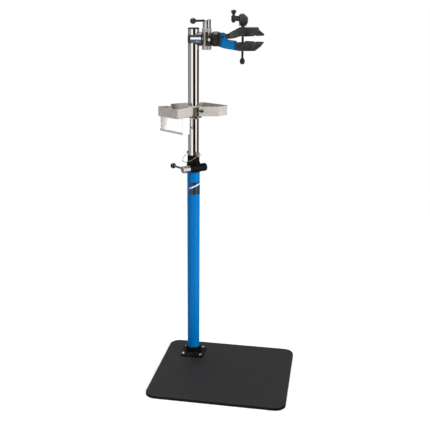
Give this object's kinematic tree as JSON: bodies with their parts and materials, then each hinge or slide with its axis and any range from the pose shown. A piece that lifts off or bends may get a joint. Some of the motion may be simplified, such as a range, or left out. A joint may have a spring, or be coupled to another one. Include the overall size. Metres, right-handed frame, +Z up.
{
  "type": "bike repair stand",
  "caption": "Floor-standing bike repair stand: steel base plate, telescoping column, swivelling tool tray and a rotating screw clamp that holds a bicycle by its seat post or frame tube.",
  "frame": {"origin": "the column's axis at floor level, on the underside of the base plate", "axes": "+X along the clamp arm and the base plate's long side, +Y towards the plate's near edge behind the column, +Z up the column"},
  "size_m": [0.6572, 0.6131, 1.7],
  "materials": {
    "base_black": "satin powder coat",
    "cast_black": "gloss enamel on casting",
    "bolt_zinc": "zinc plated",
    "tube_blue": "gloss paint",
    "decal_print": "printed vinyl",
    "plug_steel": "machined steel",
    "lever_silver": "plated steel",
    "barrel_silver": "satin plated casting",
    "rod_steel": "bright steel",
    "ball_black": "moulded",
    "mast_chrome": "polished chrome",
    "cap_black": "moulded",
    "liner_nylon": "natural nylon",
    "brass_pad": "machined",
    "head_paint": "gloss enamel",
    "sleeve_black": "gloss enamel on casting",
    "arm_blue": "gloss enamel on forging",
    "jaw_black": "satin enamel on forging",
    "pad_rubber": "moulded rubber",
    "screw_black": "black oxide",
    "crank_black": "satin enamel on casting",
    "knob_plastic": "moulded",
    "tray_grey": "satin powder coat",
    "holder_cream": "satin powder coat",
    "rail_grey": "satin powder coat"
  },
  "bodies": {
    "stand": {"base_plate": "base_black", "flange": "cast_black", "flange_bolts": "bolt_zinc", "lower_tube": "tube_blue", "tube_decal": "decal_print", "height_collar": "cast_black", "fixed_plug": "plug_steel", "lock_bolt": "bolt_zinc"},
    "height_wedge": {"sliding_plug": "plug_steel"},
    "height_lever": {"height_lever_hub": "lever_silver", "height_lever_rod": "rod_steel", "height_lever_ball": "ball_black"},
    "mast_guide": {"guide_liner": "liner_nylon"},
    "mast": {"mast": "mast_chrome", "mast_cap": "cap_black", "head_tube": "head_paint", "head_decal": "decal_print", "lock_barrel": "barrel_silver", "shaft_sleeve": "sleeve_black", "sleeve_screws": "bolt_zinc", "safety_pin": "rod_steel"},
    "keeper": {"pin_keeper": "rod_steel"},
    "head_pad": {"brake_pad": "brass_pad"},
    "head_lever": {"head_lever_hub": "lever_silver", "head_lever_rod": "rod_steel", "head_lever_ball": "ball_black"},
    "tray_slider": {"tray_liner": "liner_nylon"},
    "tray": {"tray": "tray_grey", "tray_ring": "tray_grey", "ring_knob": "ball_black", "holder_outer": "holder_cream", "holder_inner": "holder_cream", "holder_rail": "rail_grey"},
    "tray_screw": {"tray_thumbscrew": "ball_black"},
    "clamp": {"clamp_shaft": "plug_steel", "shaft_clip": "plug_steel", "neck_collar": "sleeve_black", "lower_arm": "arm_blue", "pivot_pin": "screw_black", "lower_jaw": "jaw_black", "lower_jaw_pin": "screw_black", "lower_pad": "pad_rubber"},
    "upper_jaw": {"upper_arm": "jaw_black", "upper_jaw": "jaw_black", "upper_jaw_pin": "screw_black", "upper_pad": "pad_rubber"},
    "upper_swivel": {"upper_trunnion": "screw_black"},
    "screw_nut": {"nut_trunnion": "screw_black"},
    "screw_thrust": {"thrust_washer": "screw_black"},
    "screw": {"clamp_screw": "screw_black", "screw_stop": "screw_black", "crank": "crank_black", "knob_bolt": "screw_black"},
    "knob": {"crank_knob": "knob_plastic"}
  },
  "joints": [
    {"name": "height_lever_turn", "type": "hinge", "parent": "stand", "child": "height_lever", "pos_m": [-0.02362, -0.07453, 0.981], "axis": [-0.7071, -0.7071, 0], "range_deg": [0, 110]},
    {"name": "height_wedge_slide", "type": "slide", "parent": "stand", "child": "height_wedge", "axis": [-0.7071, -0.7071, 0], "range_m": [0, 0.001]},
    {"name": "mast_swivel", "type": "hinge", "parent": "stand", "child": "mast_guide", "pos_m": [0, 0, 0.9], "axis": [0, 0, 1], "continuous": true},
    {"name": "mast_slide", "type": "slide", "parent": "mast_guide", "child": "mast", "axis": [0, 0, 1], "range_m": [0, 0.2]},
    {"name": "keeper_swing", "type": "hinge", "parent": "mast", "child": "keeper", "pos_m": [0, 0, 1.044], "axis": [-0.7071, 0.7071, 0], "range_deg": [-10, 90]},
    {"name": "head_lever_turn", "type": "hinge", "parent": "mast", "child": "head_lever", "pos_m": [0.061, 0, 1.65], "axis": [0, 0, 1], "range_deg": [0, 80]},
    {"name": "head_pad_slide", "type": "slide", "parent": "mast", "child": "head_pad", "axis": [0, 0, 1], "range_m": [0, 0.0006]},
    {"name": "tray_height", "type": "slide", "parent": "mast", "child": "tray_slider", "axis": [0, 0, 1], "range_m": [-0.12, 0.15]},
    {"name": "tray_swivel", "type": "hinge", "parent": "tray_slider", "child": "tray", "pos_m": [0, 0, 1.25], "axis": [0, 0, 1], "continuous": true},
    {"name": "tray_screw_turn", "type": "hinge", "parent": "tray", "child": "tray_screw", "pos_m": [0, 0, 1.25], "axis": [0.766, -0.6428, 0], "continuous": true},
    {"name": "clamp_rotate", "type": "hinge", "parent": "mast", "child": "clamp", "pos_m": [0.1, 0, 1.573], "axis": [1, 0, 0], "continuous": true},
    {"name": "jaw_open", "type": "hinge", "parent": "clamp", "child": "upper_jaw", "pos_m": [0.138, 0, 1.583], "axis": [0, -1, 0], "range_deg": [-7.6, 20.2]},
    {"name": "upper_swivel_turn", "type": "hinge", "parent": "upper_jaw", "child": "upper_swivel", "pos_m": [0.225, 0, 1.608], "axis": [0, -1, 0], "range_deg": [-12, 5]},
    {"name": "nut_lean", "type": "hinge", "parent": "clamp", "child": "screw_nut", "pos_m": [0.225, 0, 1.543], "axis": [0, -1, 0], "range_deg": [-3.5, 8.5]},
    {"name": "screw_lift", "type": "slide", "parent": "screw_nut", "child": "screw_thrust", "axis": [0, 0, 1], "range_m": [-0.0115, 0.03]},
    {"name": "crank_turn", "type": "hinge", "parent": "screw_thrust", "child": "screw", "pos_m": [0.225, 0, 1.6], "axis": [0, 0, 1], "range_deg": [-200, 530]},
    {"name": "knob_spin", "type": "hinge", "parent": "screw", "child": "knob", "pos_m": [0.1825, 0, 1.68], "axis": [0, 0, 1], "continuous": true}
  ],
  "couplings": [
    {"joint": "height_wedge_slide", "follows": "height_lever_turn", "m_per_rad": 0.0003183},
    {"joint": "head_pad_slide", "follows": "head_lever_turn", "m_per_rad": 0.0003183},
    {"joint": "screw_lift", "follows": "crank_turn", "m_per_rad": 0.0031831},
    {"joint": "jaw_open", "follows": "crank_turn", "ratio": 0.037448},
    {"joint": "nut_lean", "follows": "crank_turn", "ratio": 0.015354},
    {"joint": "upper_swivel_turn", "follows": "crank_turn", "ratio": -0.022094}
  ]
}
